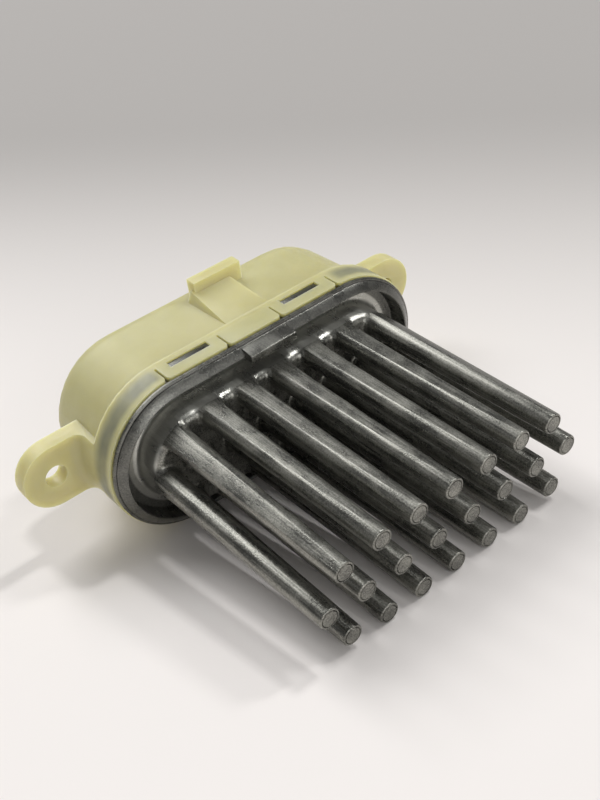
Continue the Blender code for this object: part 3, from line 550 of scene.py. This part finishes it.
@dataclass
class HeatSink:
    """The casting: three rows of pins on a plateau, with a moat and a stepped rim, in millimetres."""

    pin_pitch: float = 9.0
    row_pitch: float = 9.77
    outer_pins: int = 7
    middle_pins: int = 8
    end_pull: float = 1.34
    pin_length: float = 51.6
    tip_radius: float = 2.25
    root_radius: float = 2.95
    flare_radius: float = 2.74
    flare_length: float = 7.0
    root_sink: float = 0.6
    root_blend: float = 1.0
    root_cell: float = 0.36
    root_rounds: int = 24
    end_steps: int = 96
    tip_ring: float = 0.12
    groove_half: float = 0.1
    groove_depth: float = 0.3
    tip_chamfer: float = 0.3
    flat_offset: float = 2.2
    end_flat_offset: float = 2.03
    side_flat_offset: float = 2.6
    flat_proud: float = 0.09
    flat_rounding: float = 0.25
    plateau_rise: float = 2.9
    plateau_edge: float = 1.8
    plateau_spine: float = 21.73
    plateau_radius: float = 11.97
    moat_depth: float = 4.5
    moat_fillet: float = 1.2
    rim_spine: float = 22.88
    lip_inner: float = 15.57
    seam_radius: float = 17.64
    seam_depth: float = 1.49
    seam_gap: float = 0.22
    band_radius: float = 18.27
    band_end: float = 2.4
    upstand_radius: float = 17.27
    upstand_inner: float = 15.77
    upstand_end: float = 7.5
    floor_rear: float = 6.5
    catch_centre: float = 14.9
    catch_half: float = 4.93
    catch_top: float = 18.37
    catch_start: float = 5.58
    catch_end: float = 7.55
    catch_slope: float = 0.03
    catch_sink: float = 0.75
    catch_rounding: float = 0.08
    tab_low: tuple = (-6.0, -2.4, 15.17)
    tab_high: tuple = (6.0, 1.2, 17.0)
    tab_rounding: float = 0.18
    shift: float = -0.6
    boss_radius: float = 3.0
    boss_hole: float = 1.55
    boss_hole_depth: float = 6.3
    boss_reach: float = 33.5
    board_boss_end: float = 15.5
    clamp_boss_end: float = 12.0
    ring_sides: int = 128
    pin_sides: int = 48

    def pin_places(self) -> list:
        """X, Z, direction and distance of the flat of each pin, in the rim's frame.

        Returns:
            Tuples of x, z, flat normal or None, and the flat's distance from the pin's axis.
        """
        places = []
        last = (self.middle_pins - 1) / 2
        for i in range(self.middle_pins):
            x = (i - last) * self.pin_pitch
            normal = Vector((math.copysign(1, x), 0, 0)) if abs(i - last) == last else None
            places.append((x, 0.0, normal, self.side_flat_offset))
        last = (self.outer_pins - 1) / 2
        for side in Side:
            for i in range(self.outer_pins):
                x = (i - last) * self.pin_pitch
                end = abs(i - last) == last
                z = side.value * (self.row_pitch - (self.end_pull if end else 0))
                towards = Vector((x - math.copysign(self.plateau_spine, x), 0, z)).normalized()
                normal = towards if end else Vector((0, 0, side.value))
                places.append((x, z, normal, self.end_flat_offset if end else self.flat_offset))
        return places

    def pin(self, shell: Shell, x: float, z: float, normal: Vector | None, offset: float) -> None:
        """Adds one tapered pin with a flat, a broken tip edge and a groove round its tip.

        Args:
            shell: The mesh to add to.
            x: X of the pin's axis.
            z: Z of the pin's axis.
            normal: Direction of its flat, or None for a round pin.
            offset: Distance of the flat from the axis.
        """
        one = Shell()
        root = -self.plateau_rise
        tip = root - self.pin_length
        flare = (0.0, self.flare_radius, root - self.flare_length)
        one.sweep(((0.0, self.root_radius, root + self.root_sink), (0.0, self.root_radius, root), flare,
                   (0.0, self.tip_radius, tip)), self.pin_sides)
        end = [e for e in one.mesh.edges if all(abs(v.co.y - tip) < 1e-4 for v in e.verts)]
        one.round_off(end, self.tip_chamfer, 3)
        bmesh.ops.recalc_face_normals(one.mesh, faces=one.mesh.faces)
        face = [f for f in one.mesh.faces if all(abs(v.co.y - tip) < 1e-3 for v in f.verts)]
        half, depth = self.groove_half, self.groove_depth
        for width, rise in ((self.tip_ring, 0.0), (half, -depth), (half, depth)):
            bmesh.ops.inset_region(one.mesh, faces=face, thickness=width, depth=rise)
        if normal is not None:
            offset += self.flat_proud
            one.plane_cut(list(one.mesh.verts), normal * offset, normal)
            bmesh.ops.recalc_face_normals(one.mesh, faces=one.mesh.faces)
            flat = [e for e in one.mesh.edges if e.is_manifold and e.calc_face_angle(0) > 0.1
                    and abs(sum((v.co @ normal for v in e.verts)) / 2 - offset) < 1e-3]
            one.round_off(flat, self.flat_rounding, 3)
        bmesh.ops.translate(one.mesh, verts=one.mesh.verts, vec=(x, 0, z))
        shell.join(one)

    def root_depths(self, x: np.ndarray, z: np.ndarray) -> np.ndarray:
        """Depth of the plateau's surface, which is filleted into the pins.

        Args:
            x: X of the points.
            z: Z of the points.

        Returns:
            Y of the surface at each point.
        """
        top = -self.plateau_rise
        places = self.pin_places()
        reach = [np.hypot(x - place[0], z - place[1]) - self.root_radius for place in places]
        pin = np.min(reach, axis=0)
        ends = np.hypot(np.maximum(np.abs(x) - self.plateau_spine, 0), z)
        rim = ends - self.plateau_radius + self.plateau_edge
        front = np.full_like(x, top - self.root_blend)
        back = np.full_like(x, top + self.plateau_edge + 0.01)
        for _ in range(self.root_rounds):
            middle = (front + back) / 2
            rise = top - middle + self.plateau_edge
            slab = np.hypot(np.maximum(rim, 0), np.maximum(rise, 0)) - self.plateau_edge
            slab += np.minimum(np.maximum(rim, rise), 0)
            share = np.maximum(self.root_blend - np.abs(slab - pin), 0) / self.root_blend
            inside = np.minimum(slab, pin) - share ** 2 * self.root_blend / 4 < 0
            back = np.where(inside, middle, back)
            front = np.where(inside, front, middle)
        return back

    def plateau(self, shell: Shell) -> None:
        """Adds the plateau, with its front filleted into the pins and its foot into the moat.

        Args:
            shell: The mesh to add to.
        """
        one = Shell()
        mesh = one.mesh
        upright = Matrix.Rotation(math.pi / 2, 4, "X")
        spread = Matrix.Diagonal((self.plateau_spine, self.plateau_radius, 1, 1))
        bmesh.ops.create_grid(
            mesh, x_segments=round(2 * self.plateau_spine / self.root_cell),
            y_segments=2 * round(self.plateau_radius / self.root_cell), size=1, matrix=upright @ spread,
        )
        for end in (-1, 1):
            centre = Vector((end * self.plateau_spine, 0, 0))
            edges = [e for e in mesh.edges
                     if all(abs(v.co.x - centre.x) < 1e-4 and v.co.z > -1e-4 for v in e.verts)]
            bmesh.ops.spin(mesh, geom=edges, cent=centre, axis=(0, 1, 0), angle=end * math.pi,
                           steps=self.end_steps)
        bmesh.ops.remove_doubles(mesh, verts=mesh.verts, dist=1e-4)
        verts = list(mesh.verts)
        depths = self.root_depths(np.array([v.co.x for v in verts]), np.array([v.co.z for v in verts]))
        for vert, depth in zip(verts, depths):
            vert.co.y = float(depth)
        edges = [e for e in mesh.edges if e.is_boundary]
        foot = self.moat_depth
        fillet = self.moat_fillet
        turns = [i * math.pi / 8 for i in range(5)]
        steps = [(fillet * (1 - math.cos(a)), foot - fillet * (1 - math.sin(a))) for a in turns]
        grown = 0.0
        for growth, depth in (*steps, (steps[-1][0], foot + 0.5)):
            made = bmesh.ops.extrude_edge_only(mesh, edges=edges)["geom"]
            new = {g for g in made if isinstance(g, bmesh.types.BMVert)}
            edges = [g for g in made if isinstance(g, bmesh.types.BMEdge) and set(g.verts) <= new]
            for vert in new:
                x = vert.co.x
                centre = Vector((max(-self.plateau_spine, min(self.plateau_spine, x)), 0, 0))
                out = Vector((x, 0, vert.co.z)) - centre
                vert.co += out.normalized() * (growth - grown)
                vert.co.y = depth
            grown = growth
        bmesh.ops.contextual_create(mesh, geom=edges)
        shell.join(one)

    def rim(self, shell: Shell) -> None:
        """Adds the moat's floor, the slanted lip, the band and the upstand as one skin.

        Args:
            shell: The mesh to add to.
        """
        inner, seam, depth, gap = self.lip_inner, self.seam_radius, self.seam_depth, self.seam_gap
        profile = [
            (inner - 0.8, self.moat_depth),
            (inner - 0.23, self.moat_depth - 0.23),
            (inner, self.moat_depth - 0.8),
            (inner, 0.3),
            (inner + 0.07, 0.1),
            (inner + 0.26, 0.0),
            (inner + 0.5, 0.1),
            (seam - 0.1, depth - gap - 0.08),
            (seam, depth - gap / 2),
            (seam - 0.12, depth + gap),
            (seam + 0.1, depth),
            (self.band_radius - 0.15, depth + 0.1),
            (self.band_radius, depth + 0.25),
            (self.band_radius, self.band_end - 0.15),
            (self.band_radius - 0.15, self.band_end),
            (self.upstand_radius, self.band_end),
            (self.upstand_radius, self.upstand_end - 0.2),
            (self.upstand_radius - 0.2, self.upstand_end),
            (self.upstand_inner, self.upstand_end),
            (self.upstand_inner, self.floor_rear),
        ]
        start = (self.plateau_spine, self.plateau_radius - 2.0, self.moat_depth)
        shell.sweep([start] + [(self.rim_spine, radius, y) for radius, y in profile], self.ring_sides)

    def catches(self, shell: Shell) -> None:
        """Adds the four catches that fill the housing's windows.

        Args:
            shell: The mesh to add to.
        """
        for side in Side:
            for centre in (self.shift - self.catch_centre, self.shift + self.catch_centre):
                sunk = (self.upstand_radius - self.catch_sink) * side.value
                top = self.catch_top * side.value
                verts = shell.block((centre - self.catch_half, self.catch_start, min(sunk, top)),
                                    (centre + self.catch_half, self.catch_end, max(sunk, top)))
                for vert in verts:
                    if vert.co.y > self.catch_start + 0.1 and abs(vert.co.z) > self.upstand_radius:
                        vert.co.z = (self.catch_top - self.catch_slope) * side.value
                shell.round_off({e for v in verts for e in v.link_edges}, self.catch_rounding, 2)

    def tab(self, shell: Shell) -> None:
        """Adds the tab that runs forward from the upper lip, with a top that slopes down forwards.

        Args:
            shell: The mesh to add to.
        """
        verts = shell.block(self.tab_low, self.tab_high)
        for vert in verts:
            if vert.co.y > 0 and vert.co.z > 16:
                vert.co.z = self.seam_radius - 0.1
        shell.round_off({e for v in verts for e in v.link_edges}, self.tab_rounding, 3)

    def bosses(self, shell: Shell) -> None:
        """Adds the three screw bosses behind the floor.

        Args:
            shell: The mesh to add to.
        """
        for x, end in ((self.shift - self.boss_reach, self.board_boss_end), (0.0, self.clamp_boss_end),
                       (self.shift + self.boss_reach, self.board_boss_end)):
            stations = (
                (self.boss_radius, self.floor_rear - 1),
                (self.boss_radius, end - 0.2),
                (self.boss_radius - 0.2, end),
                (self.boss_hole, end),
                (self.boss_hole, end - self.boss_hole_depth),
            )
            shell.sweep([(0.0, radius, y) for radius, y in stations], self.pin_sides, x)

    def build(self) -> bpy.types.Object:
        """Builds the casting and returns its object."""
        shell = Shell()
        self.plateau(shell)
        self.rim(shell)
        self.catches(shell)
        self.tab(shell)
        self.bosses(shell)
        for place in self.pin_places():
            self.pin(shell, *place)
        return shell.object("heat_sink_casting", 32.0)


@dataclass
class Housing:
    """The translucent moulding with its collar, ears, hook and sockets.

    The rounding is in millimetres. Faces that differ by less than flat_angle degrees are joined, and
    edges sharper than edge_angle degrees are rounded.
    """

    node: str = "housing"
    rounding: float = 0.15
    flat_angle: float = 1.0
    edge_angle: float = 40.0

    def build(self) -> bpy.types.Object:
        """Refines the solid's own surface and returns the new object."""
        mesh = bmesh.new()
        mesh.from_mesh(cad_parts[self.node].data)
        bmesh.ops.remove_doubles(mesh, verts=mesh.verts, dist=1e-6)
        bmesh.ops.dissolve_limit(
            mesh, angle_limit=math.radians(self.flat_angle), verts=mesh.verts, edges=mesh.edges
        )
        mesh.normal_update()
        sharp = math.radians(self.edge_angle)
        edges = [e for e in mesh.edges if e.is_manifold and e.calc_face_angle(0) > sharp]
        bmesh.ops.bevel(
            mesh, geom=edges, offset=self.rounding * MM, offset_type="OFFSET", segments=2,
            profile=0.5, affect="EDGES", clamp_overlap=True, material=-1,
        )
        return finish_mesh(mesh, "housing_moulding", 35.0, Matrix.Identity(4))


@dataclass(frozen=True)
class Lamp:
    """A square lamp that points at the part: its place and side in metres and its power in watts."""

    name: str
    place: tuple
    size: float
    power: float

    def build(self) -> None:
        """Hangs the lamp in the scene."""
        data = bpy.data.lights.new(self.name, "AREA")
        data.size = self.size
        data.energy = self.power
        lamp = bpy.data.objects.new(self.name, data)
        lamp.location = self.place
        lamp.rotation_euler = (-Vector(self.place)).to_track_quat("-Z", "Y").to_euler()
        bpy.context.scene.collection.objects.link(lamp)


LAMPS = (
    Lamp("high_right", (1.78, 0.03, 3.13), 0.28, 30.0),
    Lamp("low_right", (2.43, -0.62, 2.58), 0.36, 24.0),
    Lamp("rear", (0.54, 2.99, 1.98), 0.6, 4.0),
    Lamp("front_box", (-0.05, -1.75, 0.8), 1.3, 13.0),
    Lamp("rear_box", (-0.15, 1.7, 1.86), 1.7, 38.0),
)


@dataclass
class Studio:
    """Floor, lamps, world and camera. Places and sizes are in metres, the camera's turn in degrees."""

    floor_size: float = 6.0
    collar_edge: float = 0.0115
    floor_tilt: float = math.atan(0.1162)
    # The far colour is painted shade: the floor fades to it along fade_direction, in place of light falling
    # off with distance
    floor_near: tuple = (0.85, 0.812, 0.788)
    floor_far_painted_shade: tuple = (0.41, 0.393, 0.379)
    fade_direction: tuple = (0.85, 0.5, 0.0)
    fade_length: float = 0.22
    world_strength: float = 0.22
    camera_place: tuple = (-0.10326, -0.15282, 0.17124)
    camera_turn: tuple = (51.183, 6.514, -39.417)
    camera_lens: float = 50.256

    def floor(self) -> None:
        """Lays the pale floor where the part rests, on its collar and its lower pins' tips, with painted
        shade that darkens it away from the camera.
        """
        mesh = bmesh.new()
        bmesh.ops.create_grid(mesh, x_segments=1, y_segments=1, size=self.floor_size / 2)
        rest = Matrix.Translation((0, self.collar_edge, 0)) @ Matrix.Rotation(-self.floor_tilt, 4, "X")
        piece = finish_mesh(mesh, "floor", 30.0, rest)
        n = Nodes("pale_floor")
        away = n.add("ShaderNodeVectorMath", operation="DOT_PRODUCT")
        n.link(n.coordinates, away.inputs[0])
        away.inputs[1].default_value = self.fade_direction
        # Painted shade: the floor darkens with distance along fade_direction
        painted_falloff = n.ramp(away.outputs["Value"], 0.0, self.fade_length, smooth=True)
        n.link(n.blend(painted_falloff, self.floor_near, self.floor_far_painted_shade), n.shader.inputs["Base Color"])
        n.shader.inputs["Roughness"].default_value = 0.9
        n.shader.inputs["Specular IOR Level"].default_value = 0.1
        piece.data.materials.append(n.material)

    def build(self) -> None:
        """Sets up floor, lamps, world and camera."""
        self.floor()
        for lamp in LAMPS:
            lamp.build()
        world = bpy.data.worlds.new("studio")
        world.use_nodes = True
        background = world.node_tree.nodes["Background"]
        background.inputs["Color"].default_value = (1.0, 1.0, 1.0, 1.0)
        background.inputs["Strength"].default_value = self.world_strength
        bpy.context.scene.world = world
        data = bpy.data.cameras.new("camera")
        data.lens = self.camera_lens
        data.clip_start = 0.01
        data.clip_end = 20.0
        camera = bpy.data.objects.new("camera", data)
        camera.location = self.camera_place
        camera.rotation_euler = [math.radians(a) for a in self.camera_turn]
        bpy.context.scene.collection.objects.link(camera)
        bpy.context.scene.camera = camera
        bpy.context.scene.view_settings.view_transform = "Standard"


INNER_FINISHES = {
    PlainFinish("solder_resist", (0.02, 0.13, 0.05), (0.03, 0.17, 0.07), 0.0, 0.35): ("circuit_board",),
    PlainFinish("moulded_epoxy", (0.015, 0.015, 0.016), (0.03, 0.03, 0.032), 0.0, 0.55): (
        "transistor_left", "transistor_right", "control_chip", "suppressor_diode"),
    PlainFinish("thermal_rubber", (0.42, 0.44, 0.47), (0.48, 0.50, 0.52), 0.0, 0.8): (
        "thermal_pad_left", "thermal_pad_right"),
    PlainFinish("spring_steel", (0.42, 0.41, 0.39), (0.5, 0.49, 0.46), 1.0, 0.3): ("clamp_spring",),
    PlainFinish("zinc_plate", (0.62, 0.63, 0.64), (0.7, 0.7, 0.68), 1.0, 0.28): (
        "clamp_screw", "board_screw_left", "board_screw_right"),
    PlainFinish("resistance_strip", (0.48, 0.42, 0.36), (0.56, 0.5, 0.42), 1.0, 0.35): ("shunt_resistor",),
    PlainFinish("can_sleeve", (0.02, 0.025, 0.06), (0.03, 0.035, 0.08), 0.0, 0.3): ("filter_capacitor",),
    PlainFinish("fired_ceramic", (0.36, 0.29, 0.2), (0.42, 0.34, 0.24), 0.0, 0.5): (
        "gate_resistor_left", "gate_resistor_right", "feedback_capacitor", "bias_resistor"),
    PlainFinish("tinned_brass", (0.6, 0.58, 0.52), (0.68, 0.66, 0.6), 1.0, 0.25, (500.0, 2500.0, 500.0)): (
        "supply_blade_positive", "supply_blade_negative", "signal_pin",
        "motor_blade_positive", "motor_blade_negative"),
}


def place_piece(piece: bpy.types.Object, material: bpy.types.Material, node: str) -> None:
    """Dresses a finished piece, which takes the place of its solid.

    Args:
        piece: The new piece.
        material: Its material.
        node: The solid it replaces.
    """
    piece.data.materials.append(material)
    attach(piece, "root")
    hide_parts(node)
    LOG.info("%s: %d faces", piece.name, len(piece.data.polygons))


def dress_inner_pieces() -> None:
    """Gives every solid that stays in the scene its material."""
    for finish, nodes in INNER_FINISHES.items():
        material = finish.build()
        for node in nodes:
            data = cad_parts[node].data
            data.materials.clear()
            data.materials.append(material)
            LOG.info("%s: %s", node, finish.name)


def main() -> None:
    """Builds the dressed part and its studio."""
    logging.basicConfig(level=logging.INFO, format="%(name)s: %(message)s")
    place_piece(HeatSink().build(), CastMetal().build(), "heat_sink")
    place_piece(Housing().build(), NaturalNylon().build(), "housing")
    dress_inner_pieces()
    Studio().build()


if __name__ == "__main__":
    main()
